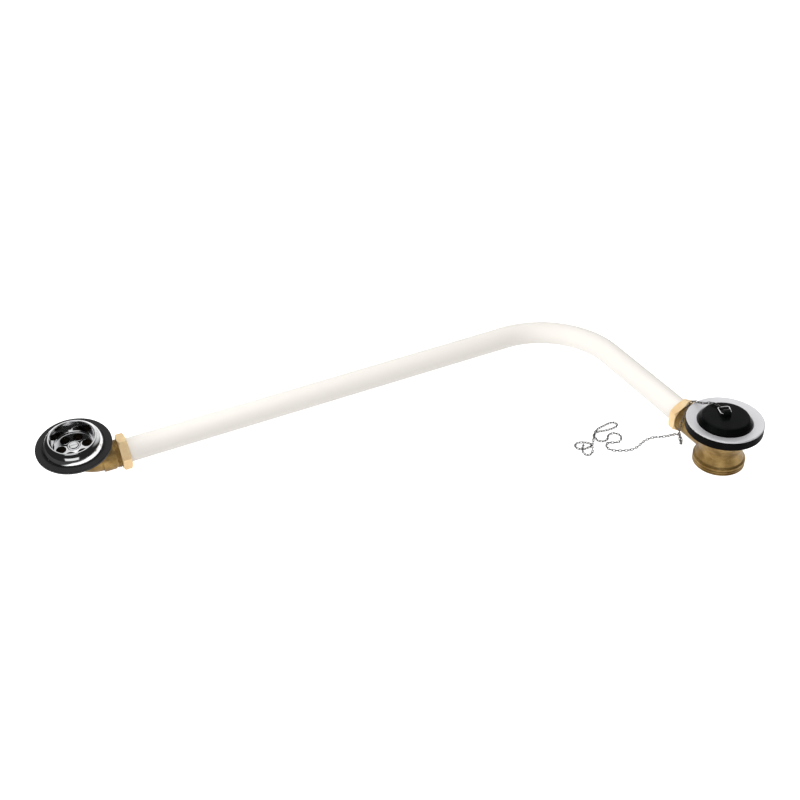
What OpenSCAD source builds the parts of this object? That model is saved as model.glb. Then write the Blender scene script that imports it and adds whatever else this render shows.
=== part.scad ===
// Bath waste and overflow: a plug waste and an overflow head joined by one bent pipe.
// The outlet's foot stands on z = 0 with its centre at the origin. The pipe leaves the
// waste along +Y, turns through a right angle and runs along -X to the overflow head.

/* [Waste flange] */
// Outside diameter of the flange
flange_d = 70; // [60:0.5:85]
// Thickness of the flange at its rim
flange_t = 1.6; // [1:0.1:2.5]
// How far the flange falls from its rim to the throat
flange_dish = 2.2; // [0.5:0.1:3]
// Width of the flange's flat rim, from its edge to the throat
flange_w = 9.8; // [8:0.1:12]
// Depth of the throat below its upper edge
throat_depth = 9; // [7:0.5:11]
// Half angle of the throat's cone
throat_slope = 20; // [10:1:25]
// Wall of the throat
throat_wall = 1.4; // [1:0.1:1.8]
// Thickness of the outlet grid
grid_t = 2.2; // [1.5:0.1:3]
// Width of each bar of the outlet grid
grid_bar_w = 3; // [2:0.1:5]
// Number of bars in the outlet grid
grid_bars = 4; // [3:1:6]
// Diameter of the boss in the middle of the grid
grid_boss_d = 13; // [12:0.5:16]

/* [Waste seal and body] */
// Height of the seat that the seal lies on
seat_z = 38.7; // [38:0.1:48]
// Thickness of the waste seal
seal_t = 8.2; // [5:0.1:12]
// How far the body's seat ring lies inside the flange's edge
seat_inset = 5.5; // [4:0.1:7]
// Thickness of the body's seat ring
seat_t = 3; // [2:0.1:5]
// Wall of the body
body_wall = 2.8; // [2:0.1:3.5]
// Outside diameter of the body at its waist
waist_d = 39.6; // [37:0.2:44]
// Height of the waist
waist_z = 16.5; // [15:0.5:17.5]
// Outside diameter of the outlet thread
outlet_d = 47.6; // [45:0.1:52]
// Height of the outlet thread
outlet_h = 7.4; // [5:0.1:9]
// Pitch of the outlet thread
outlet_pitch = 2.3; // [1.8:0.1:3]

/* [Plug] */
// Clearance between the plug at its widest and the throat's upper edge
plug_gap = 1; // [0.6:0.1:2]
// Height of the plug's rounded shoulder above its widest part
plug_rise = 5; // [3:0.1:7]
// Width of the plug's shoulder, from its widest part to its flat top
plug_shoulder = 2.7; // [2:0.1:5]
// Depth of the plug below its widest part
plug_depth = 6.4; // [4:0.1:8]
// Width of the lug on the plug
lug_w = 7.2; // [6:0.1:9]
// Thickness of the lug, measured along its hole
lug_t = 6.4; // [5:0.1:8]
// Height of the lug's hole above the plug's top
lug_hole_h = 2.5; // [2.5:0.1:5]
// How far the lug and its shackle are turned
lug_turn = -16; // [-60:1:60]

/* [Shackle] */
// Diameter of the shackle's wire
shackle_wire = 1.1; // [0.8:0.05:1.2]
// Width of the shackle where it passes through the lug
shackle_narrow = 9.6; // [8:0.1:12]
// Width of the shackle at its far side
shackle_wide = 11; // [9:0.1:14]
// How far the shackle's far side is shifted along the lug's hole
shackle_skew = 2; // [0:0.1:3]
// Length of the shackle from the lug to its far side
shackle_l = 11.2; // [8:0.1:12]
// Angle at which the shackle rises from the lug
shackle_lean = -6; // [-6:1:30]
// Clearance of the wire in the lug's hole
wire_gap = 0.3; // [0.15:0.05:0.6]

/* [Pipe] */
// Outside diameter of the pipe
pipe_d = 23.5; // [20:0.1:25]
// Wall of the pipe
pipe_wall = 1.8; // [1.2:0.1:3]
// Height of the pipe's axis
pipe_z = 18; // [18:0.1:19]
// Distance from the waste's axis to the pipe's long run
run_y = 258; // [180:1:400]
// Distance from the waste's axis to the overflow's axis
run_x = 542; // [300:1:800]
// Radius of the bend, on the pipe's axis
bend_r = 80; // [60:1:110]
// Clearance between the pipe and the sockets that it enters
pipe_gap = 0.25; // [0.15:0.05:0.5]
// How far the pipe enters each socket
pipe_in = 12; // [8:0.5:14]

/* [Pipe joints] */
// Outside diameter of the threaded spigots
spigot_d = 27.6; // [27.2:0.1:29]
// Width across the flats of the nuts
nut_af = 30.6; // [30.4:0.1:36]
// Length of the nuts
nut_l = 8.6; // [8:0.1:14]
// Thickness of the end wall of the nuts
nut_end = 1.5; // [1.2:0.1:2.5]
// Distance from the waste's axis to the end of its spigot
inlet_reach = 54; // [50:0.5:66]
// Distance from the overflow's axis to the end of its spigot
spigot_reach = 43.4; // [40:0.1:56]
// Thickness of the slip rings
slip_t = 0.6; // [0.5:0.1:1.2]
// Length of the cone rings outside the spigots
cone_out = 1.2; // [1:0.1:3]
// Length of the cone rings inside the spigots
cone_in = 2.2; // [1.5:0.1:3]
// Length of the thread on each spigot
spigot_thread = 9; // [6:0.5:12]
// How far the overflow's nut is turned about the pipe
overflow_nut_turn = 14; // [0:1:59]
// How far the waste's nut is turned about the pipe
waste_nut_turn = 30; // [0:1:59]
// Clearance of the threads
thread_gap = 0.15; // [0.1:0.05:0.3]
// Clearance between parts that seat on each other
seat_gap = 0.1; // [0.05:0.05:0.3]

/* [Overflow rose] */
// Outside diameter of the rose
rose_d = 55.6; // [52:0.2:64]
// Height of the bowl's rim above the washer's lip
rose_rise = 9.7; // [7:0.1:13]
// Diameter of the bowl over its rim
bowl_d = 44.2; // [40:0.2:46]
// Depth of the bowl below its rim
bowl_depth = 12.4; // [8:0.1:14]
// Wall of the rose
rose_wall = 1.3; // [1:0.1:1.8]
// Diameter of the holes in the bowl
rose_hole_d = 9.4; // [7:0.1:10]
// Diameter of the circle of holes
rose_hole_pcd = 23.6; // [23:0.1:25]
// Number of holes in the bowl
rose_holes = 6; // [4:1:6]
// Diameter of the boss in the middle of the bowl
rose_boss_d = 11; // [10:0.1:12]

/* [Overflow washer] */
// Outside diameter of the washer
washer_d = 69.4; // [64:0.2:76]
// Thickness of the washer at its lip
washer_t = 3.4; // [2.8:0.1:5]
// Thickness of the washer at its outer edge
washer_edge = 2.9; // [2:0.1:4.4]
// Width of the raised lip round the rose
lip_w = 1; // [0.6:0.1:1.6]

/* [Overflow elbow] */
// Distance from the pipe's axis to the washer's lip
head_h = 28.1; // [27.6:0.1:34]
// Diameter of the elbow's seat ring
elbow_seat_d = 60; // [56:0.5:64]
// Thickness of the elbow's seat ring
elbow_seat_t = 3; // [2:0.1:4]
// Outside diameter of the elbow's cup
cup_d = 45; // [44:0.2:50]
// Outside diameter of the elbow's bend
bend_d = 24.4; // [23:0.2:27]
// Radius of the elbow's bend, on its middle line
elbow_r = 21.5; // [18:0.5:23]
// How far the head is turned about the pipe
head_turn = 9.7; // [0:0.1:20]

/* [Screws] */
// Diameter of the waste screw
waste_screw_d = 6; // [5:0.5:7]
// Diameter of the waste screw's head
waste_head_d = 10.4; // [9:0.2:11]
// Diameter of the overflow screw
rose_screw_d = 5; // [4:0.5:5.5]
// Diameter of the overflow screw's head
rose_head_d = 8.6; // [8:0.2:9]
// Width of the bridges that the screws enter
bridge_w = 6; // [4:0.2:8]
// Diameter of the bridges' bosses
bridge_boss_d = 12; // [10:0.2:14]
// Depth of the bridges along the screws
bridge_t = 5; // [4:0.2:6]

/* [Chain] */
// Diameter of the chain's wire
link_wire = 0.65; // [0.6:0.05:0.8]
// Outside width of a link
link_w = 2.6; // [2.4:0.05:2.8]
// Outside length of a link
link_l = 4.5; // [4.4:0.05:4.7]

/* [Hidden] */
$fn = 64;

brass = "goldenrod";
chrome = "silver";
rubber = "dimgray";
pipe_white = "linen";

// Lengths that are too small to see but keep a cut from ending on a face
cut = 1;

flange_z = seat_z + seal_t;
under_z = flange_z - flange_dish;
rim_z = flange_z + flange_t;
throat_z = rim_z - flange_dish;
throat_r = flange_d / 2 - flange_w;
grid_z = throat_z - throat_depth;
grid_r = throat_r - throat_depth * tan(throat_slope);
bore_r = waist_d / 2 - body_wall;
outlet_r = outlet_d / 2;
seat_r = flange_d / 2 - seat_inset;
mouth_r = throat_r + throat_wall + 0.4;
bridge_z = grid_z - grid_t - 9;

plug_r = throat_r - plug_gap;
plug_top_r = plug_r - plug_shoulder;
plug_z = rim_z - 1;
plug_top_z = plug_z + plug_rise;
lug_z = plug_top_z + lug_hole_h;

pipe_r = pipe_d / 2;
pipe_bore_r = pipe_r - pipe_wall;
socket_r = pipe_r + pipe_gap;
spigot_r = spigot_d / 2;
nut_r = nut_af / 2;
nut_inside = cone_out + slip_t + 2 * seat_gap;
nut_front = nut_inside + nut_end - nut_l;

lip_z = head_h;
elbow_seat_z = lip_z - washer_t;
rose_floor_z = lip_z + rose_rise - bowl_depth;
cup_r = cup_d / 2;
cup_bore_r = cup_r - body_wall;
cup_z = elbow_seat_z - elbow_seat_t - 5;
bend_bore_r = pipe_bore_r - 0.2;
rose_seat_z = lip_z - 1.3;
rose_bridge_z = cup_z - 3;

// Points of an arc from one angle to another
function arc(centre, r, from, to, steps = 10) =
    [for (k = [0 : steps]) let (a = from + (to - from) * k / steps)
        centre + r * [cos(a), sin(a)]];

// A cone or cylinder between two heights
module stage(z0, z1, r0, r1) {
    translate([0, 0, z0])
        cylinder(h = z1 - z0, r1 = r0, r2 = r1);
}

// The profile of a turned piece, spun round the Z axis
module turned(points) {
    rotate_extrude()
        polygon(points);
}

// The waste's flange: a dished rim, a conical throat and a grid with a screw boss
module waste_flange() {
    color(chrome)
    difference() {
        union() {
            turned(concat(
                [[grid_r + throat_wall, grid_z - grid_t], [throat_r + throat_wall, under_z],
                    [flange_d / 2 - 2, flange_z], [flange_d / 2 - 0.6, flange_z]],
                arc([flange_d / 2 - 0.8, rim_z - 0.8], 0.8, -60, 90, 8),
                [[throat_r + 0.9, throat_z + 0.15]],
                arc([throat_r + 0.75, throat_z - 0.85], 1, 90, 180 - throat_slope, 5),
                [[grid_r, grid_z], [grid_r - 0.5, grid_z - grid_t]]
            ));
            for (k = [0 : grid_bars - 1])
                rotate([0, 0, 45 + k * 360 / grid_bars])
                    translate([0, -grid_bar_w / 2, grid_z - grid_t + 0.2])
                        cube([grid_r + 0.4, grid_bar_w, grid_t - 0.5]);
            stage(grid_z - grid_t - 1.5, grid_z, grid_boss_d / 2 - 1, grid_boss_d / 2);
        }
        stage(grid_z - grid_t - 1.5 - cut, grid_z + cut,
            waste_screw_d / 2 + 0.3, waste_screw_d / 2 + 0.3);
        stage(grid_z - (waste_head_d - waste_screw_d) / 2, grid_z,
            waste_screw_d / 2 + 0.3, waste_head_d / 2 + 0.3);
        stage(grid_z - 0.1, grid_z + cut, waste_head_d / 2 + 0.3, waste_head_d / 2 + 0.3);
    }
}

module waste_seal() {
    color(rubber)
    turned(concat(
        [[mouth_r, seat_z]],
        arc([flange_d / 2 - 0.8, seat_z + 0.8], 0.8, -90, 0, 6),
        arc([flange_d / 2 - 0.8, flange_z - 0.8], 0.8, 0, 90, 6),
        [[flange_d / 2 - 2, flange_z], [mouth_r, under_z]]
    ));
}

// Grooves between the rings of the outlet thread, from the foot up
function outlet_rings() = [
    for (k = [1 : floor((outlet_h - 1.2) / outlet_pitch)]) let (z = k * outlet_pitch)
        each [[outlet_r, z - 0.55], [outlet_r - 0.7, z - 0.1], [outlet_r - 0.7, z + 0.1],
            [outlet_r, z + 0.55]]
];

// Outer and inner outlines of the body's cast wall, from the foot up
function body_outside() = concat(
    [[outlet_r - 0.9, 0], [outlet_r, 0.9]],
    outlet_rings(),
    [[outlet_r, outlet_h - 0.3], [outlet_r - 0.6, outlet_h], [outlet_r - 1.8, outlet_h + 1.4],
        [waist_d / 2 + 1.2, waist_z - 4.5], [waist_d / 2 + 0.3, waist_z - 1.5],
        [waist_d / 2, waist_z], [waist_d / 2 + 0.6, waist_z + 4],
        [mouth_r - 1.5, seat_z - seat_t - 2.2], [mouth_r + 0.5, seat_z - seat_t],
        [seat_r, seat_z - seat_t], [seat_r, seat_z - 0.4], [seat_r - 0.4, seat_z]]
);

function body_inside() = [
    [outlet_r - body_wall - 1, -cut], [outlet_r - body_wall - 1, outlet_h - 1],
    [bore_r, waist_z - 3], [bore_r, waist_z + 3], [mouth_r - 3, grid_z - grid_t - 2.6],
    [mouth_r, grid_z + 1.4], [mouth_r, seat_z + cut]
];

// The waste's body: seat ring, chamber, waist, trumpet outlet and side inlet
module waste_body() {
    color(brass)
    difference() {
        union() {
            turned(concat([[0, 0]], body_outside(), [[0, seat_z]]));
            translate([0, 0, pipe_z])
                rotate([-90, 0, 0])
                    spigot(0, inlet_reach);
        }
        difference() {
            turned(concat([[0, -cut]], body_inside(), [[0, seat_z + cut]]));
            bridge(mouth_r, bridge_z);
        }
        translate([0, 0, pipe_z])
            rotate([-90, 0, 0])
                spigot_bore(inlet_reach, bore_r - 2);
        stage(bridge_z - cut, bridge_z + bridge_t + cut, waste_screw_d / 2, waste_screw_d / 2);
    }
}

// The outside of a threaded spigot on the Z axis, from the body to its end
module spigot(from, reach) {
    thread_z = reach - spigot_thread;
    stage(from, thread_z - 2, spigot_r, spigot_r);
    stage(from, reach - 0.5, spigot_r - 0.8, spigot_r - 0.8);
    for (z = [thread_z : 1.5 : reach - 1.4])
        translate([0, 0, z])
            turned([[0, 0], [spigot_r - 0.8, 0], [spigot_r, 0.5], [spigot_r, 0.8],
                [spigot_r - 0.8, 1.3], [0, 1.3]]);
    stage(reach - 1, reach, spigot_r - 0.2, spigot_r - 0.8);
}

// The way through a spigot: the waterway, the socket for the pipe and the cone at its mouth
module spigot_bore(reach, from) {
    stage(from, reach + cut, pipe_bore_r, pipe_bore_r);
    stage(reach - pipe_in, reach + cut, socket_r, socket_r);
    stage(reach - cone_in, reach + 0.01, socket_r, spigot_r - 0.9);
}

// A bar across a bore with a boss for the screw
module bridge(reach, z) {
    translate([-reach, -bridge_w / 2, z])
        cube([2 * reach, bridge_w, bridge_t]);
    stage(z, z + bridge_t, bridge_boss_d / 2, bridge_boss_d / 2);
}

// A slotted countersunk screw that points down from the origin
module slotted_screw(d, head_d, l) {
    head_h = (head_d - d) / 2;
    difference() {
        union() {
            stage(-l, -head_h, d / 2 - 0.1, d / 2 - 0.1);
            stage(-head_h, 0, d / 2 - 0.1, head_d / 2);
            stage(0, 0.5, head_d / 2, head_d / 2 - 0.5);
        }
        translate([-head_d, -0.55, -0.6])
            cube([2 * head_d, 1.1, 2]);
    }
}

module waste_screw() {
    color(brass)
    translate([0, 0, grid_z])
        slotted_screw(waste_screw_d, waste_head_d, grid_z - bridge_z - 0.5);
}

// The rubber plug: a taper that sits in the throat, a rounded shoulder and a lug
module waste_plug() {
    foot_r = throat_r - (throat_z - plug_z + plug_depth) * tan(throat_slope) - 0.45;
    color(rubber)
    difference() {
        union() {
            turned(concat(
                [[0, plug_z - plug_depth], [foot_r - 1, plug_z - plug_depth],
                    [foot_r, plug_z - plug_depth + 1]],
                arc([plug_r - 0.9, plug_z], 0.9, -20, 35, 5),
                arc([plug_top_r - 2, plug_top_z - 3], 3, 50, 90, 5),
                [[0, plug_top_z + 0.4]]
            ));
            rotate([0, 0, lug_turn])
                lug();
        }
        rotate([0, 0, lug_turn])
            translate([-lug_t, 0, lug_z])
                rotate([0, 90, 0])
                    cylinder(h = 2 * lug_t, d = shackle_wire + 2 * wire_gap);
    }
}

// The lug: a round-topped ear across the plug's middle
module lug() {
    translate([-lug_t / 2, 0, lug_z])
        rotate([0, 90, 0])
            cylinder(h = lug_t, d = lug_w);
    translate([-lug_t / 2, -lug_w / 2, plug_top_z])
        cube([lug_t, lug_w, lug_hole_h]);
}

// A straight length of wire between two points of the XY plane
module wire(a, b, d) {
    translate([a.x, a.y, 0])
        rotate([0, 0, atan2(b.y - a.y, b.x - a.x)])
            rotate([0, 90, 0])
                cylinder(h = norm(b - a), d = d);
}

// A closed ring of wire that follows a convex outline, with rounded corners
module wire_ring(p, r, d) {
    n = len(p);
    for (k = [0 : n - 1]) {
        a = p[(k + n - 1) % n];
        b = p[k];
        c = p[(k + 1) % n];
        u = (b - a) / norm(b - a);
        v = (c - b) / norm(c - b);
        turn = acos(u * v);
        back = r * tan(turn / 2);
        w = (p[(k + 2) % n] - c) / norm(p[(k + 2) % n] - c);
        next_back = r * tan(acos(v * w) / 2);
        wire(b + (back - 0.1) * v, c - (next_back - 0.1) * v, d);
        centre = b - back * u + r * [-u.y, u.x];
        translate([centre.x, centre.y, 0])
            rotate([0, 0, atan2(-u.x, u.y)])
                rotate_extrude(angle = turn)
                    translate([r, 0])
                        circle(d = d + 0.04, $fn = 24);
    }
}

module plug_shackle() {
    color(chrome)
    rotate([0, 0, lug_turn])
        translate([0, 0, lug_z])
            rotate([shackle_lean, 0, 0])
                wire_ring([[-shackle_narrow / 2, 0], [shackle_narrow / 2, 0],
                    [shackle_skew + shackle_wide / 2, shackle_l],
                    [shackle_skew - shackle_wide / 2, shackle_l]],
                    1.8, shackle_wire);
}

// A pipe joint on the Z axis with the spigot's end at z = 0 and the pipe leaving along +Z
module joint_nut() {
    z0 = nut_front;
    z1 = nut_front + nut_l;
    difference() {
        intersection() {
            translate([0, 0, z0])
                cylinder(h = nut_l, r = nut_r / cos(30), $fn = 6);
            union() {
                stage(z0, z0 + 1.5, nut_r + 0.1, nut_r / cos(30) + 0.1);
                stage(z0 + 1.5, z1 - 1.2, nut_r / cos(30) + 0.1, nut_r / cos(30) + 0.1);
                stage(z1 - 1.2, z1, nut_r / cos(30) + 0.1, nut_r - 0.2);
            }
        }
        stage(z0 - cut, nut_inside, spigot_r + thread_gap, spigot_r + thread_gap);
        stage(z0 - cut, z1 + cut, socket_r, socket_r);
        stage(z0 - 0.01, z0 + 0.8, spigot_r + thread_gap + 0.8, spigot_r + thread_gap);
    }
}

module joint_slip_ring() {
    difference() {
        stage(cone_out + seat_gap, cone_out + seat_gap + slip_t,
            spigot_r - 0.3, spigot_r - 0.3);
        stage(0, nut_l, socket_r, socket_r);
    }
}

module joint_cone_ring() {
    ring_r = spigot_r - 0.9 - seat_gap;
    inner_r = pipe_r + 0.1;
    turned([[inner_r, cone_out], [ring_r, cone_out], [ring_r, 0],
        [socket_r + 0.1, -cone_in + 0.2], [inner_r, -cone_in + 0.2]]);
}

// Places a joint's pieces at the waste's spigot or at the overflow's
module at_waste_joint() {
    translate([0, inlet_reach, pipe_z])
        rotate([-90, 0, 0])
            children();
}

module at_overflow_joint() {
    at_head()
        translate([spigot_reach, 0, 0])
            rotate([0, 90, 0])
                children();
}

// The overflow head's own frame: its origin lies where its axis meets the pipe's
module at_head() {
    translate([-run_x, run_y, pipe_z])
        rotate([head_turn, 0, 0])
            children();
}

module waste_nut() {
    color(brass) at_waste_joint() rotate([0, 0, waste_nut_turn]) joint_nut();
}

module waste_slip_ring() {
    color(brass) at_waste_joint() joint_slip_ring();
}

module waste_cone_ring() {
    color(rubber) at_waste_joint() joint_cone_ring();
}

module overflow_nut() {
    color(brass) at_overflow_joint() rotate([0, 0, overflow_nut_turn]) joint_nut();
}

module overflow_slip_ring() {
    color(brass) at_overflow_joint() joint_slip_ring();
}

module overflow_cone_ring() {
    color(rubber) at_overflow_joint() joint_cone_ring();
}

// The pipe's section
module pipe_section() {
    difference() {
        circle(r = pipe_r);
        circle(r = pipe_bore_r);
    }
}

// The pipe is one bent tube, in three stretches: the short leg at the waste, the bend and
// the long leg at the overflow
module pipe_short_leg() {
    start_y = inlet_reach - pipe_in + seat_gap;
    color(pipe_white)
    translate([0, start_y, pipe_z])
        rotate([-90, 0, 0])
            linear_extrude(height = run_y - bend_r - start_y)
                pipe_section();
}

module pipe_bend() {
    color(pipe_white)
    translate([-bend_r, run_y - bend_r, pipe_z])
        rotate_extrude(angle = 90)
            translate([bend_r, 0])
                pipe_section();
}

module pipe_long_leg() {
    end_x = -run_x + spigot_reach - pipe_in + seat_gap;
    color(pipe_white)
    translate([end_x, run_y, pipe_z])
        rotate([0, 90, 0])
            linear_extrude(height = -bend_r - end_x)
                pipe_section();
}

// A quarter turn of tube in the head's frame, from the pipe's axis up to the head's axis
module quarter_bend(r) {
    translate([elbow_r, 0, elbow_r])
        rotate([90, 0, 0])
            rotate([0, 0, 180])
                rotate_extrude(angle = 90)
                    translate([elbow_r, 0])
                        circle(r = r);
}

// The overflow's elbow: seat ring, cup, screw bridge, quarter bend and threaded spigot
module overflow_elbow() {
    color(brass)
    at_head()
    difference() {
        union() {
            turned([[0, cup_z - 10], [bend_d / 2, cup_z - 10], [cup_r - 4, cup_z - 3],
                [cup_r - 1, cup_z - 1], [cup_r, cup_z + 1.5],
                [cup_r + 0.6, elbow_seat_z - elbow_seat_t - 0.8],
                [cup_r + 1.6, elbow_seat_z - elbow_seat_t],
                [elbow_seat_d / 2 - 0.4, elbow_seat_z - elbow_seat_t],
                [elbow_seat_d / 2, elbow_seat_z - elbow_seat_t + 0.4],
                [elbow_seat_d / 2, elbow_seat_z - 0.3], [elbow_seat_d / 2 - 0.3, elbow_seat_z],
                [0, elbow_seat_z]]);
            quarter_bend(bend_d / 2);
            rotate([0, 90, 0])
                spigot(elbow_r - 0.5, spigot_reach);
        }
        difference() {
            turned([[0, cup_z - 8], [bend_bore_r - 0.5, cup_z - 8], [cup_bore_r - 4, cup_z - 1.5],
                [cup_bore_r - 0.8, cup_z + 1], [cup_bore_r, cup_z + 3],
                [cup_bore_r, elbow_seat_z + cut], [0, elbow_seat_z + cut]]);
            bridge(cup_r - 1, rose_bridge_z);
        }
        difference() {
            quarter_bend(bend_bore_r);
            bridge(cup_r - 1, rose_bridge_z);
        }
        rotate([0, 90, 0])
            spigot_bore(spigot_reach, elbow_r - 0.3);
        stage(rose_bridge_z - cut, rose_bridge_z + bridge_t + cut,
            rose_screw_d / 2, rose_screw_d / 2);
    }
}

// The washer: a flat back, a face that rises gently and a raised lip round the rose
module overflow_washer() {
    lip_r = rose_d / 2 + seat_gap;
    color(rubber)
    at_head()
    turned(concat(
        [[cup_bore_r + 1, elbow_seat_z], [washer_d / 2 - 0.7, elbow_seat_z]],
        arc([washer_d / 2 - 0.8, elbow_seat_z + 0.8], 0.8, -80, 0, 4),
        arc([washer_d / 2 - 0.8, elbow_seat_z + washer_edge - 0.8], 0.8, 0, 85, 4),
        [[lip_r + lip_w + 0.5, lip_z - 0.4]],
        arc([lip_r + lip_w / 2, lip_z - 0.1], lip_w / 2, -20, 180, 6),
        [[lip_r, rose_seat_z - seat_gap], [cup_bore_r + 1, rose_seat_z - seat_gap]]
    ));
}

// The rose: a domed flank that rises to a rolled rim, and a bowl with holes
module overflow_rose() {
    rim = lip_z + rose_rise;
    bowl_r = bowl_d / 2;
    floor_r = bowl_r - 3.9;
    rose_r = rose_d / 2;
    w = rose_wall;
    color(chrome)
    at_head()
    difference() {
        turned(concat(
            [[0, rose_floor_z - w], [floor_r, rose_floor_z - w], [floor_r + 0.9, rose_floor_z - 0.6],
                [floor_r + w + 0.1, rose_floor_z + 1], [bowl_r - 1.1, rim - 2.6],
                [bowl_r - 0.4, rim - 2.9], [rose_r - w - 1.5, rose_seat_z + 3.4],
                [rose_r - w - 0.1, rose_seat_z]],
            [[rose_r - 0.3, rose_seat_z], [rose_r, rose_seat_z + 0.5],
                [rose_r - 0.2, rose_seat_z + 1.8], [rose_r - 1.3, rose_seat_z + 4.4],
                [rose_r - 3.1, rim - 3.1]],
            arc([bowl_r - 0.9, rim - 0.9], 0.9, 20, 190, 8),
            [[floor_r + 0.9, rose_floor_z + 2.4], [floor_r + 0.3, rose_floor_z + 0.8],
                [floor_r - 0.6, rose_floor_z], [rose_boss_d / 2 + 0.6, rose_floor_z],
                [rose_boss_d / 2, rose_floor_z + 1.2], [0, rose_floor_z + 1.2]]
        ));
        for (k = [0 : rose_holes - 1])
            rotate([0, 0, k * 360 / rose_holes])
                translate([rose_hole_pcd / 2, 0, 0])
                    stage(rose_floor_z - w - cut, rose_floor_z + cut,
                        rose_hole_d / 2, rose_hole_d / 2);
        stage(rose_floor_z - w - cut, rose_floor_z + cut,
            rose_screw_d / 2 + 0.3, rose_screw_d / 2 + 0.3);
        stage(rose_floor_z + 1.2 - (rose_head_d - rose_screw_d) / 2, rose_floor_z + 1.2,
            rose_screw_d / 2 + 0.3, rose_head_d / 2 + 0.3);
        stage(rose_floor_z + 1.1, rose_floor_z + 2, rose_head_d / 2 + 0.3, rose_head_d / 2 + 0.3);
    }
}

module overflow_screw() {
    head_z = rose_floor_z + 1.2;
    color(chrome)
    at_head()
        translate([0, 0, head_z])
            slotted_screw(rose_screw_d, rose_head_d, head_z - rose_bridge_z - 0.5);
}

// A point of the shackle's plane, measured from the middle of the lug's hole
function on_shackle(x, y) = [
    x * cos(lug_turn) - y * cos(shackle_lean) * sin(lug_turn),
    x * sin(lug_turn) + y * cos(shackle_lean) * cos(lug_turn),
    lug_z + y * sin(shackle_lean)
];

link_pitch = link_l - 2 * link_wire - 0.3;
link_low = link_w / 2 + 0.05;
link_high = link_low + link_w + 0.4;
rim_r = flange_d / 2;
hook_x = shackle_skew - shackle_wide / 2 + 2.2;
hook_y = shackle_l - shackle_wire / 2;

// Points along the chain, from the shackle to its last link: over the flange's rim, down
// beside the inlet, along the floor, through two loops and round the heap
chain_points = concat(
    [on_shackle(hook_x, hook_y), on_shackle(hook_x, hook_y + 3) + [0, 0, 0.5]],
    [[1.2, 18, plug_top_z + 1.7], [-0.5, 21.5, plug_top_z + 1.2],
        [-3.5, rim_r - 10.4, rim_z + 3], [-6, rim_r - 4.6, rim_z + 1.4],
        [-8.2, rim_r - 0.8, rim_z + 1.7], [-10.5, rim_r + 0.9, rim_z + 0.6],
        [-12.2, rim_r + 1.1, rim_z - 3.2], [-14, rim_r + 1.2, seat_z],
        [-spigot_r - 2.4, 38.5, pipe_z + 4], [-spigot_r - 1.6, 40.6, 14]],
    [[-13.2, 41, 6.4], [-13.6, 39.6, 2.8], [-15.3, 36.4, link_low], [-17.1, 33.2, 2.8],
        [-18, 31.8, 6.4], [-17.7, 33.6, 10], [-16.8, 37, 11.4], [-17.8, 41.8, 9.6],
        [-20, 46.8, 5], [-23, 52, link_low],
        [-27, 53.5, link_low], [-32, 56, link_low], [-40, 56, link_low], [-45, 55, link_low],
        [-49, 53, link_low], [-57, 50, link_low], [-64, 50, link_low], [-70, 52.5, link_low]],
    [[-76, 55.5, link_low], [-80.5, 59.5, link_low], [-81, 63.5, link_low],
        [-79.5, 67.5, link_low], [-75.5, 69.6, link_low], [-71, 67.2, link_low],
        [-66, 65, link_low], [-60, 68.5, link_low], [-58, 74.5, link_low],
        [-61.5, 80, link_low], [-67.5, 80, link_low], [-72, 75.5, 2.8],
        [-75.4, 70.4, link_high], [-80, 70.4, 3.6], [-83.2, 75.2, 1.9],
        [-82, 84, link_low],
        [-77, 89.5, link_low], [-72, 92.5, link_low], [-65, 93.5, link_low]],
    [[-57, 95, link_low], [-50.8, 93.6, link_low], [-50.8, 87.4, link_low],
        [-58, 85.8, link_low], [-67, 86.5, link_low], [-74, 87, 2.4], [-80, 85.5, link_high],
        [-85, 81, 2.8], [-88, 76, link_low], [-93, 72.5, link_low], [-98, 71.6, link_low],
        [-103.6, 72.4, link_low], [-107, 76, link_low], [-106.6, 80.6, link_low],
        [-102.6, 83.4, link_low], [-98, 82.2, link_low], [-94.6, 78, 2.6],
        [-93.2, 72.6, link_high], [-95, 66, 2.8], [-99.6, 61.8, link_low],
        [-105, 62.6, link_low], [-106.6, 67, 2.8], [-103.4, 72.2, link_high + 0.2],
        [-99.5, 75.6, 2.8], [-98, 78, link_low]]
);

// Rounds a path by cutting its corners, several times over
function rounded(p, times) = times == 0 ? p : rounded(concat(
    [p[0]],
    [for (k = [0 : len(p) - 2]) each [p[k] * 0.75 + p[k + 1] * 0.25, p[k] * 0.25 + p[k + 1] * 0.75]],
    [p[len(p) - 1]]), times - 1);

// Length of a path up to each of its points
function lengths(p) = [
    for (k = 0, sum = 0; k < len(p); sum = sum + (k < len(p) - 1 ? norm(p[k + 1] - p[k]) : 0),
        k = k + 1) sum
];

// The point at a given length along a path
function along(p, t, s) =
    let (k = max([0, for (j = [0 : len(p) - 2]) if (t[j] <= s) j]))
        p[k] + (p[k + 1] - p[k]) * (s - t[k]) / (t[k + 1] - t[k]);

function unit(v) = v / norm(v);
function square_to(v, d) = unit(v - (v * d) * d);

// One link: its middle, the way it runs and the way its width lies
module link(centre, d, side) {
    mid_r = (link_w - link_wire) / 2;
    half = (link_l - link_w) / 2;
    sides = 5;
    up = cross(d, side);
    turns = [-67.5, -22.5, 22.5, 67.5, 112.5, 157.5, 202.5, 247.5];
    points = [
        for (a = turns) for (j = [0 : sides - 1]) let (
            r = mid_r + link_wire / 2 * cos(j * 360 / sides),
            x = (abs(a) < 90 ? half : -half) + r * cos(a)
        ) centre + x * d + r * sin(a) * side + link_wire / 2 * sin(j * 360 / sides) * up
    ];
    faces = [
        for (i = [0 : 7]) for (j = [0 : sides - 1])
            [i * sides + j, i * sides + (j + 1) % sides,
                ((i + 1) % 8) * sides + (j + 1) % sides, ((i + 1) % 8) * sides + j]
    ];
    polyhedron(points, faces);
}

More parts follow.
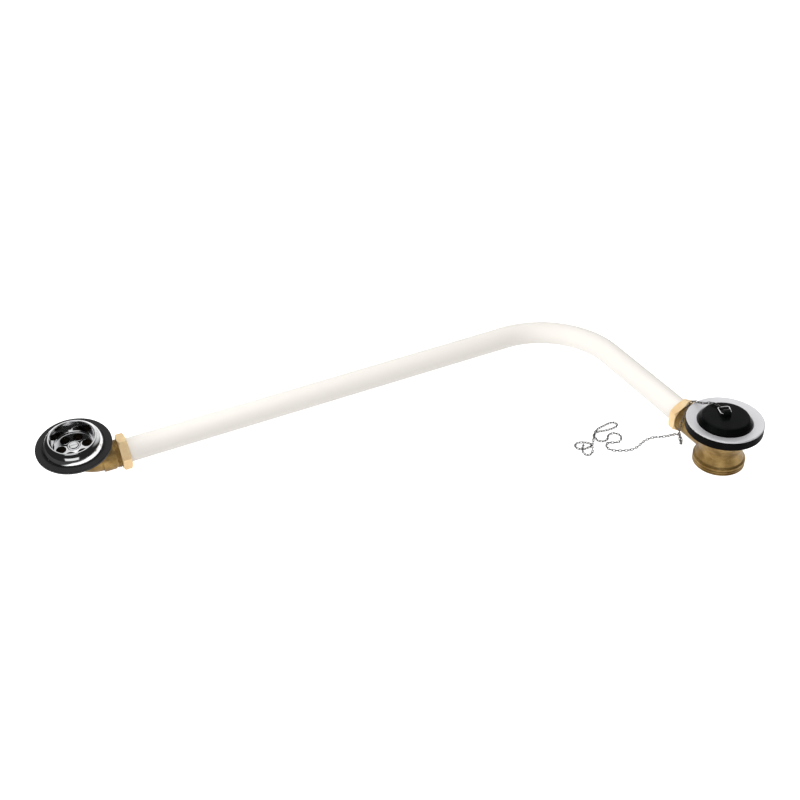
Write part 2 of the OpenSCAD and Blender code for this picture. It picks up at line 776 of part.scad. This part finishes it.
// A stretch of the chain, given as shares of its length; each link is turned by a quarter
// from the one before it
module chain(from, to) {
    path = rounded(chain_points, 3);
    t = lengths(path);
    count = floor(t[len(t) - 1] / link_pitch);
    step = t[len(t) - 1] / count;
    ends = [for (k = [0 : count]) along(path, t, min(k * step, t[len(t) - 1] - 0.001))];
    ways = [for (k = [0 : count - 1]) unit(ends[k + 1] - ends[k])];
    sides = [
        for (k = 0, v = square_to([cos(lug_turn), sin(lug_turn), 0], ways[0]); k < count;
            v = square_to(v, ways[min(k + 1, count - 1)]), k = k + 1) v
    ];
    for (k = [round(from * count) : round(to * count) - 1])
        link((ends[k] + ends[k + 1]) / 2, ways[k],
            k % 2 == 0 ? cross(sides[k], ways[k]) : sides[k]);
}

module chain_drop() {
    color(chrome) chain(0, 0.15);
}

module chain_run() {
    color(chrome) chain(0.15, 0.4);
}

module chain_loops() {
    color(chrome) chain(0.4, 0.68);
}

module chain_heap() {
    color(chrome) chain(0.68, 1);
}

waste_flange();
waste_seal();
waste_body();
waste_screw();
waste_plug();
plug_shackle();
waste_nut();
waste_slip_ring();
waste_cone_ring();
pipe_short_leg();
pipe_bend();
pipe_long_leg();
overflow_nut();
overflow_slip_ring();
overflow_cone_ring();
overflow_elbow();
overflow_washer();
overflow_rose();
overflow_screw();
chain_drop();
chain_run();
chain_loops();
chain_heap();
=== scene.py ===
import math

import bmesh
import bpy
import numpy as np
from mathutils import Matrix, Vector


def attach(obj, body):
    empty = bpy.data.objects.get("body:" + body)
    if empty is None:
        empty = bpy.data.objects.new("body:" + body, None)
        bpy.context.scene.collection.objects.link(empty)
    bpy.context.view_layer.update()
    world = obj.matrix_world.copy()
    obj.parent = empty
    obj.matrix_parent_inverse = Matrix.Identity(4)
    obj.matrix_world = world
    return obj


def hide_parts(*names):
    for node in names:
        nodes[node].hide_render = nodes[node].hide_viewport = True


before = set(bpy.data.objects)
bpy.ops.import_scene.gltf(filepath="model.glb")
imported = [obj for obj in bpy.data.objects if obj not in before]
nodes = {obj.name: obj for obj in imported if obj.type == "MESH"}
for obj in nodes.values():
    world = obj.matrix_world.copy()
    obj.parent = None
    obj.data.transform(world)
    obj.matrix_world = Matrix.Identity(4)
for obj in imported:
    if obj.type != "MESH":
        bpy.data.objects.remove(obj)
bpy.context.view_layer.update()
scene = bpy.context.scene

# The camera stands in front of the waste and looks down on it, with the overflow at its far
# left. A 47 mm lens from about a metre away gives the photograph's slight perspective.
eye = Vector((-0.5839, -0.5685, 0.6297))
right = Vector((0.8996, -0.4353, -0.0336)).normalized()
back = right.cross(Vector((0.2786, 0.5132, 0.8118))).normalized()
up = back.cross(right)
camera = bpy.data.objects.new("camera", bpy.data.cameras.new("camera"))
camera.matrix_world = Matrix((
    (right.x, up.x, back.x, eye.x),
    (right.y, up.y, back.y, eye.y),
    (right.z, up.z, back.z, eye.z),
    (0, 0, 0, 1),
))
camera.data.sensor_width = 36
camera.data.lens = 1045.9 / 800 * 36
camera.data.clip_start = 0.01
scene.collection.objects.link(camera)
scene.camera = camera
scene.view_settings.view_transform = "Standard"


# A plain white floor that the waste's foot stands on, painted board that glows like a light
# table. Just outside the picture it is flagged dark for reflections and bounced light, which
# gives the chrome its black bands, while to the eye it stays the same pale floor all over.
class Field:
    """A shader value that takes part in sums, and the way to add any other node."""

    def __init__(self, tree, socket=None):
        self.tree = tree
        self.socket = socket

    def node(self, kind, settings, inputs, out=0):
        made = self.tree.nodes.new(kind)
        for name, value in settings.items():
            if name == "stops":
                ramp = made.color_ramp
                while len(ramp.elements) < len(value):
                    ramp.elements.new(0.5)
                for element, (position, colour) in zip(ramp.elements, value):
                    element.position = position
                    element.color = colour
            else:
                setattr(made, name, value)
        for key, value in inputs.items():
            if isinstance(value, Field):
                self.tree.links.new(value.socket, made.inputs[key])
            else:
                made.inputs[key].default_value = value
        return Field(self.tree, made.outputs[out] if len(made.outputs) else None)

    def sum(self, operation, first, second):
        return self.node("ShaderNodeMath", {"operation": operation}, {0: first, 1: second})

    def parts(self):
        split = self.node("ShaderNodeSeparateXYZ", {}, {"Vector": self}).socket.node
        return [Field(self.tree, split.outputs[axis]) for axis in "XYZ"]

    def __add__(self, other):
        return self.sum("ADD", self, other)

    __radd__ = __add__

    def __mul__(self, other):
        return self.sum("MULTIPLY", self, other)

    __rmul__ = __mul__

    def __sub__(self, other):
        return self.sum("SUBTRACT", self, other)

    def __rsub__(self, other):
        return self.sum("SUBTRACT", other, self)

    def __pow__(self, other):
        return self.sum("POWER", self, other)


def new_material(name):
    material = bpy.data.materials.new(name)
    material.use_nodes = True
    material.node_tree.nodes.clear()
    field = Field(material.node_tree)
    place = field.node("ShaderNodeTexCoord", {}, {}, "Object")
    return material, field, place


def noise(field, place, scale, detail=3.0, rough=0.55):
    return field.node("ShaderNodeTexNoise", {}, {
        "Vector": place, "Scale": scale, "Detail": detail, "Roughness": rough})


def ease(field, value, low, high, to_low=0.0, to_high=1.0):
    return field.node("ShaderNodeMapRange", {"interpolation_type": "SMOOTHSTEP"}, {
        "Value": value, "From Min": low, "From Max": high, "To Min": to_low, "To Max": to_high})


def mix(field, share, first, second):
    return field.node("ShaderNodeMix", {"data_type": "RGBA"}, {0: share, 6: first, 7: second}, 2)


def surface(field, colour, rough, metallic=0.0, bumps=(), **sockets):
    inputs = {"Base Color": colour, "Roughness": rough, "Metallic": metallic, **sockets}
    for height, depth in bumps:
        under = {"Normal": inputs["Normal"]} if "Normal" in inputs else {}
        inputs["Normal"] = field.node("ShaderNodeBump", {}, {
            "Height": height, "Strength": 1.0, "Distance": depth, **under})
    shader = field.node("ShaderNodeBsdfPrincipled", {}, inputs)
    field.node("ShaderNodeOutputMaterial", {}, {"Surface": shader})


floor_white, field, place = new_material("floor_white")
x, y, z = place.parts()
nearer = ease(field, -0.413 * x - 0.911 * y, 0.32, 0.5)
righter = ease(field, 0.772 * x - 0.718 * y - 0.077, 0.015, 0.1)
lefter = ease(field, 0.142 * y - 0.99 * x - 0.654, 0, 0.06)
looked_at = field.node("ShaderNodeLightPath", {}, {}, "Is Camera Ray")
beyond = (1 - (1 - nearer) * (1 - righter) * (1 - lefter)) * (1 - looked_at)
paint = mix(field, noise(field, place, 6), (0.5, 0.5, 0.5, 1), (0.52, 0.52, 0.52, 1))
surface(field, mix(field, beyond, paint, (0.02, 0.02, 0.02, 1)), 0.8, **{
    "Specular IOR Level": 0.0, "Emission Strength": 1.0,
    "Emission Color": mix(field, looked_at, mix(
        field, beyond, (0.55, 0.55, 0.55, 1), (0.02, 0.02, 0.02, 1)), (1, 1, 1, 1))})
shape = bmesh.new()
bmesh.ops.create_grid(shape, x_segments=1, y_segments=1, size=8)
mesh = bpy.data.meshes.new("floor")
shape.to_mesh(mesh)
shape.free()
mesh.materials.append(floor_white)
floor = bpy.data.objects.new("floor", mesh)
scene.collection.objects.link(floor)

# The studio is a plain white room to the eye. What the object reflects is pale grey beyond it
# and to its right, dark behind the camera and low on the left, under a white ceiling. One low
# window behind the camera gives the rose the white band on its flank.
studio = bpy.data.worlds.new("studio")
scene.world = studio
studio.use_nodes = True
studio.node_tree.nodes.clear()
field = Field(studio.node_tree)
way = field.node("ShaderNodeTexCoord", {}, {}, "Generated")
x, y, z = way.parts()
open_side = 0.33 * x + 0.6 * y + 0.58 * z
grey = ease(field, open_side, 0.35, 0.75, 0.02, 0.85)
ceiling = ease(field, z, 0.88, 0.97)
window = (ease(field, -0.36 * x - 0.93 * y, 0.6, 0.65) * ease(field, 0.93 * x - 0.36 * y, -0.42, -0.36)
          * (1 - ease(field, 0.93 * x - 0.36 * y, 0.36, 0.42))
          * ease(field, z, 0.02, 0.06) * (1 - ease(field, z, 0.4, 0.46)))
light = mix(field, ceiling, mix(field, grey + 0.9 * window, (0, 0, 0, 1), (1, 1, 1, 1)),
            (1.2, 1.2, 1.2, 1))
light = mix(field, field.node("ShaderNodeLightPath", {}, {}, "Is Camera Ray"), light, (1, 1, 1, 1))
shader = field.node("ShaderNodeBackground", {}, {"Color": light, "Strength": 1.0})
field.node("ShaderNodeOutputWorld", {}, {"Surface": shader})


def soft_box(name, position, aim, width, power):
    lamp = bpy.data.lights.new(name, "AREA")
    lamp.shape = "RECTANGLE"
    lamp.size = width[0]
    lamp.size_y = width[1]
    lamp.energy = power
    box = bpy.data.objects.new(name, lamp)
    box.location = position
    box.rotation_euler = (Vector(aim) - Vector(position)).to_track_quat("-Z", "Y").to_euler()
    box.visible_glossy = False
    scene.collection.objects.link(box)


soft_box("overhead", (-0.3, 0.0, 2.2), (-0.25, 0.1, 0), (1.2, 1.0), 18)
soft_box("left", (-1.7, 0.35, 0.8), (-0.2, 0.1, 0), (0.7, 1.0), 22)
soft_box("front", (-0.7, -1.3, 1.1), (-0.25, 0.1, 0), (0.9, 0.9), 13)

# The body is a brass casting, dulled to brown. Its side inlet and foot are machined; the rest
# keeps the grain of the sand mould.
cast_brass, field, place = new_material("cast_brass")
patches = ease(field, noise(field, place, 55, 4), 0.3, 0.75)
grain = noise(field, place, 900, 4, 0.6)
specks = ease(field, noise(field, place, 420, 2), 0.55, 0.75)
tone = mix(field, patches, (0.17, 0.1, 0.028, 1), (0.5, 0.335, 0.13, 1))
tone = mix(field, specks * 0.5, tone, (0.12, 0.065, 0.016, 1))
surface(field, tone, 0.22 + 0.16 * grain + 0.08 * patches, 0.55 + 0.3 * patches,
        ((grain, 0.00012), (noise(field, place, 160, 2), 0.00025)), **{"Specular IOR Level": 0.1})


def dress(name, material):
    piece = nodes[name]
    piece.data.materials.clear()
    piece.data.materials.append(material)


dress("waste_body", cast_brass)

# The seal is a thick moulded rubber ring between the flange and the body.
black_rubber, field, place = new_material("black_rubber")
bloom = ease(field, noise(field, place, 70, 3), 0.35, 0.8)
grain = noise(field, place, 1400, 2)
surface(field, mix(field, bloom, (0.0022, 0.002, 0.002, 1), (0.0042, 0.004, 0.004, 1)),
        0.42 + 0.15 * bloom, 0.0, ((grain, 0.00003),), **{"Specular IOR Level": 0.03})
dress("waste_seal", black_rubber)

# The flange is pressed brass with a satin chrome plate that shows a fine grain.
satin_chrome, field, place = new_material("satin_chrome")
grain = noise(field, place, 1600, 3, 0.7)
cloud = noise(field, place, 45, 3)
surface(field, mix(field, cloud, (0.715, 0.71, 0.73, 1), (0.785, 0.78, 0.8, 1)),
        0.42 + 0.12 * grain, 0.72, ((grain, 0.00006),))
dress("waste_flange", satin_chrome)

# The screw that draws the flange down is plain turned brass, as are the nuts and the slip
# rings of the pipe's joints.
turned_brass, field, place = new_material("turned_brass")
cloud = ease(field, noise(field, place, 90, 4), 0.3, 0.75)
scratch = noise(field, place, 1100, 2)
tone = mix(field, cloud, (0.8, 0.56, 0.29, 1), (0.93, 0.73, 0.44, 1))
surface(field, tone, 0.34 + 0.14 * scratch + 0.06 * cloud, 0.42 + 0.2 * cloud,
        ((scratch, 0.00005),), **{"Specular IOR Level": 0.1})
for name in ("waste_screw", "waste_nut", "waste_slip_ring", "overflow_nut", "overflow_slip_ring"):
    dress(name, turned_brass)

# The plug is moulded rubber with a slight gloss on its flat top.
plug_rubber, field, place = new_material("plug_rubber")
bloom = ease(field, noise(field, place, 60, 4), 0.35, 0.8)
grain = noise(field, place, 1300, 2)
surface(field, mix(field, bloom, (0.0016, 0.0018, 0.0018, 1), (0.004, 0.0045, 0.0043, 1)),
        0.2 + 0.14 * bloom, 0.0, ((grain, 0.00002),), **{"Specular IOR Level": 0.05})
dress("waste_plug", plug_rubber)

# The shackle is bent from bright wire and hooks through the plug's lug.
bright_chrome, field, place = new_material("bright_chrome")
smear = ease(field, noise(field, place, 120, 3), 0.35, 0.8)
surface(field, mix(field, smear, (0.86, 0.86, 0.87, 1), (0.78, 0.785, 0.79, 1)),
        0.06 + 0.07 * smear, 1.0, ((noise(field, place, 140, 1), 0.000004),))
dress("plug_shackle", bright_chrome)

# Rubber cone rings are squeezed between each nut and its spigot.
for name in ("waste_cone_ring", "overflow_cone_ring"):
    dress(name, black_rubber)

# One bent tube of white plastic joins the two ends, in three stretches that meet face to face.
# Its surface is smooth and faintly warm.
white_tube, field, place = new_material("white_tube")
cloud = noise(field, place, 18, 3)
surface(field, mix(field, cloud, (0.7, 0.67, 0.63, 1), (0.73, 0.70, 0.655, 1)),
        0.3 + 0.12 * noise(field, place, 130, 3), 0.0, ((noise(field, place, 40, 2), 0.0001),),
        **{"Specular IOR Level": 0.25})
for name in ("pipe_short_leg", "pipe_bend", "pipe_long_leg"):
    dress(name, white_tube)

# The overflow's elbow is a brass casting like the body, with painted shade inside its cup: it is
# coloured near black there, where the rose's holes look into shadow. The cup's axis is tilted
# with the head, so the painted shade is laid by the distance from that axis.
elbow_brass, field, place = new_material("elbow_brass")
head = field.node("ShaderNodeVectorMath", {"operation": "SUBTRACT"}, {
    0: place, 1: (-0.542, 0.258, 0.018)})
x, y, z = head.parts()
lean = math.radians(9.7)
along = math.cos(lean) * z - math.sin(lean) * y
across = math.cos(lean) * y + math.sin(lean) * z
radius = (x * x + across * across) ** 0.5
# Painted shade: the mask for the inside of the cup, darkened as if in shadow under the rose.
painted_cup_shade = (ease(field, along + 0.0028 - radius, 0, 0.0004) * ease(field, along, 0.006, 0.007)
          * ease(field, 0.0213 - radius, 0, 0.0004))
patches = ease(field, noise(field, place, 55, 4), 0.3, 0.75)
grain = noise(field, place, 900, 4, 0.6)
tone = mix(field, patches, (0.17, 0.1, 0.028, 1), (0.5, 0.335, 0.13, 1))
tone = mix(field, painted_cup_shade, tone, (0.012, 0.009, 0.006, 1))
surface(field, tone, 0.22 + 0.16 * grain + 0.08 * patches + 0.3 * painted_cup_shade,
        (0.55 + 0.3 * patches) * (1 - 0.8 * painted_cup_shade),
        ((grain, 0.00012), (noise(field, place, 160, 2), 0.00025)), **{"Specular IOR Level": 0.1})
dress("overflow_elbow", elbow_brass)

# Its washer is soft black rubber, greyer and shinier than the seal.
washer_rubber, field, place = new_material("washer_rubber")
bloom = ease(field, noise(field, place, 80, 4), 0.35, 0.8)
grain = noise(field, place, 1200, 2)
surface(field, mix(field, bloom, (0.004, 0.004, 0.0044, 1), (0.01, 0.0096, 0.0098, 1)),
        0.34 + 0.16 * bloom, 0.0, ((grain, 0.00003),), **{"Specular IOR Level": 0.3})
dress("overflow_washer", washer_rubber)

# The rose is spun brass under bright chrome: a domed flank, a rolled rim and a bowl with six
# holes round the boss of its screw. It is turned here in finer steps than in the solid, so
# that the chrome reflects cleanly, and the holes are drilled after the spin.
to_head = Matrix.Translation((-0.542, 0.258, 0.018)) @ Matrix.Rotation(lean, 4, "X")
rose_floor = 0.0254
rose_holes = 6


def flow(stops, steps):
    """Points of a smooth curve through the stops, in the plane of a turned piece's profile."""
    ends = [2 * stops[0] - stops[1], *stops, 2 * stops[-1] - stops[-2]]
    for k in range(1, len(ends) - 2):
        before, near, far, after = ends[k - 1:k + 3]
        for step in range(steps):
            t = step / steps
            yield near + 0.5 * t * (far - before + t * (
                2 * before - 5 * near + 4 * far - after + t * (3 * near - before - 3 * far + after)))
    yield stops[-1]


def corner(radius, height):
    return Vector((radius, 0, height))


def spun(points, turns):
    shape = bmesh.new()
    ring = [shape.verts.new(point) for point in points]
    edges = [shape.edges.new(pair) for pair in zip(ring, ring[1:])]
    bmesh.ops.spin(shape, geom=ring + edges, cent=(0, 0, 0), axis=(0, 0, 1),
                   angle=math.tau, steps=turns, use_merge=True)
    bmesh.ops.remove_doubles(shape, verts=shape.verts, dist=1e-7)
    bmesh.ops.recalc_face_normals(shape, faces=shape.faces)
    return shape


inner_back = [corner(0.0, 0.0241), corner(0.0182, 0.0241), corner(0.0191, 0.0248),
              corner(0.0196, 0.0264), corner(0.021, 0.0352), corner(0.0217, 0.0349),
              corner(0.025, 0.0302), corner(0.0264, 0.0268)]
flank = flow([corner(0.0275, 0.0268), corner(0.0278, 0.0273), corner(0.02765, 0.0286),
              corner(0.0266, 0.0313), corner(0.0247, 0.0347), corner(0.02205, 0.0372)], 5)
rim = (corner(0.0212 + 0.0009 * math.cos(math.radians(a)),
              0.0369 + 0.0009 * math.sin(math.radians(a))) for a in range(40, 190, 15))
wall = flow([corner(0.02031, 0.0367), corner(0.0197, 0.0315), corner(0.0191, 0.0278),
             corner(0.01855, 0.0263), corner(0.0176, 0.0254)], 5)
boss = [corner(0.0061, 0.0254), corner(0.0057, 0.0256), corner(0.0055, 0.0264),
        corner(0.0053, 0.0266), corner(0.0, 0.0266)]
shape = spun([*inner_back, *flank, *rim, *wall, *boss], 128)
shape.transform(to_head)
mesh = bpy.data.meshes.new("rose")
shape.to_mesh(mesh)
shape.free()
rose = bpy.data.objects.new("rose", mesh)
scene.collection.objects.link(rose)

shape = bmesh.new()
for hole in range(rose_holes):
    bmesh.ops.create_cone(shape, cap_ends=True, segments=40, radius1=0.0047, radius2=0.0047,
                          depth=0.004, matrix=to_head
                          @ Matrix.Rotation(math.tau * hole / rose_holes, 4, "Z")
                          @ Matrix.Translation((0.0118, 0, rose_floor - 0.0006)))
bmesh.ops.create_cone(shape, cap_ends=True, segments=40, radius1=0.0028, radius2=0.0028,
                      depth=0.005, matrix=to_head @ Matrix.Translation((0, 0, 0.0246)))
bmesh.ops.create_cone(shape, cap_ends=True, segments=40, radius1=0.0028, radius2=0.0049,
                      depth=0.0021, matrix=to_head @ Matrix.Translation((0, 0, 0.02585)))
mesh = bpy.data.meshes.new("drill")
shape.to_mesh(mesh)
shape.free()
drill = bpy.data.objects.new("drill", mesh)
scene.collection.objects.link(drill)
drilling = rose.modifiers.new("drilling", "BOOLEAN")
drilling.object = drill
drilling.operation = "DIFFERENCE"
drilling.use_self = True
seen = rose.evaluated_get(bpy.context.evaluated_depsgraph_get())
turned = bpy.data.meshes.new_from_object(seen)
rose.modifiers.clear()
rose.data = turned
bpy.data.objects.remove(drill)
turned.polygons.foreach_set("use_smooth", [True] * len(turned.polygons))
turned.set_sharp_from_angle(angle=math.radians(40))

bright_rose, field, place = new_material("bright_rose")
smear = ease(field, noise(field, place, 110, 3), 0.35, 0.8)
surface(field, mix(field, smear, (0.86, 0.86, 0.87, 1), (0.76, 0.765, 0.775, 1)),
        0.05 + 0.07 * smear, 1.0, ((noise(field, place, 150, 1), 0.000004),))
turned.materials.clear()
turned.materials.append(bright_rose)
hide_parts("overflow_rose")
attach(rose, "root")
dress("overflow_screw", bright_chrome)

# The chain is plated wire, bent link by link, painted dark grey as shade for the gaps between its
# links and darker in random blotches. Each finely bent link is laid on the middle and along the
# axes of the solid's own link.
chain_wire, field, place = new_material("chain_wire")
darker_blotches = ease(field, noise(field, place, 700, 3), 0.35, 0.7)
# Painted shade: the wire's dark grey tone stands in for the shadowed gaps between the links.
surface(field, mix(field, darker_blotches, (0.22, 0.214, 0.21, 1), (0.05, 0.048, 0.046, 1)),
        0.24 + 0.16 * darker_blotches, 1.0, ((noise(field, place, 1800, 2), 0.00003),))

wire_r = 0.00036
bend_r = 0.000975
straight = 0.00095
link = bmesh.new()
bmesh.ops.create_circle(link, segments=6, radius=wire_r, matrix=Matrix.Translation(
    (straight, -bend_r, 0)) @ Matrix.Rotation(math.pi / 2, 4, "Y"))
loop = list(link.edges)
for side in (1, -1):
    turned_end = bmesh.ops.spin(link, geom=loop, cent=(side * straight, 0, 0), axis=(0, 0, 1),
                                angle=math.pi, steps=4)["geom_last"]
    loop = [part for part in turned_end if isinstance(part, bmesh.types.BMEdge)]
    drawn = bmesh.ops.extrude_edge_only(link, edges=loop)["geom"]
    bmesh.ops.translate(link, vec=(-side * 2 * straight, 0, 0),
                        verts=[part for part in drawn if isinstance(part, bmesh.types.BMVert)])
    loop = [part for part in drawn if isinstance(part, bmesh.types.BMEdge)
            and len(part.link_faces) == 1]
bmesh.ops.remove_doubles(link, verts=link.verts, dist=1e-6)
bmesh.ops.recalc_face_normals(link, faces=link.faces)
one_link = bpy.data.meshes.new("one_link")
link.to_mesh(one_link)
link.free()

for name in ("chain_drop", "chain_run", "chain_loops", "chain_heap"):
    solid = bmesh.new()
    solid.from_mesh(nodes[name].data)
    bmesh.ops.remove_doubles(solid, verts=solid.verts, dist=1e-6)
    shape = bmesh.new()
    waiting = dict.fromkeys(solid.verts)
    while waiting:
        reach = [waiting.popitem()[0]]
        for vert in reach:
            for edge in vert.link_edges:
                other = edge.other_vert(vert)
                if other in waiting:
                    del waiting[other]
                    reach.append(other)
        points = np.array([vert.co for vert in reach])
        middle = points.mean(axis=0)
        thin, wide, long = np.linalg.eigh((points - middle).T @ (points - middle))[1].T
        axes = Matrix((long, wide, np.cross(long, wide))).transposed().to_4x4()
        shape.from_mesh(one_link)
        bmesh.ops.transform(shape, matrix=Matrix.Translation(middle) @ axes,
                            verts=shape.verts[-len(one_link.vertices):])
    solid.free()
    mesh = bpy.data.meshes.new(name + "_wire")
    shape.to_mesh(mesh)
    shape.free()
    mesh.polygons.foreach_set("use_smooth", [True] * len(mesh.polygons))
    mesh.materials.append(chain_wire)
    stretch = bpy.data.objects.new(name + "_wire", mesh)
    scene.collection.objects.link(stretch)
    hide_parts(name)
    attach(stretch, "root")
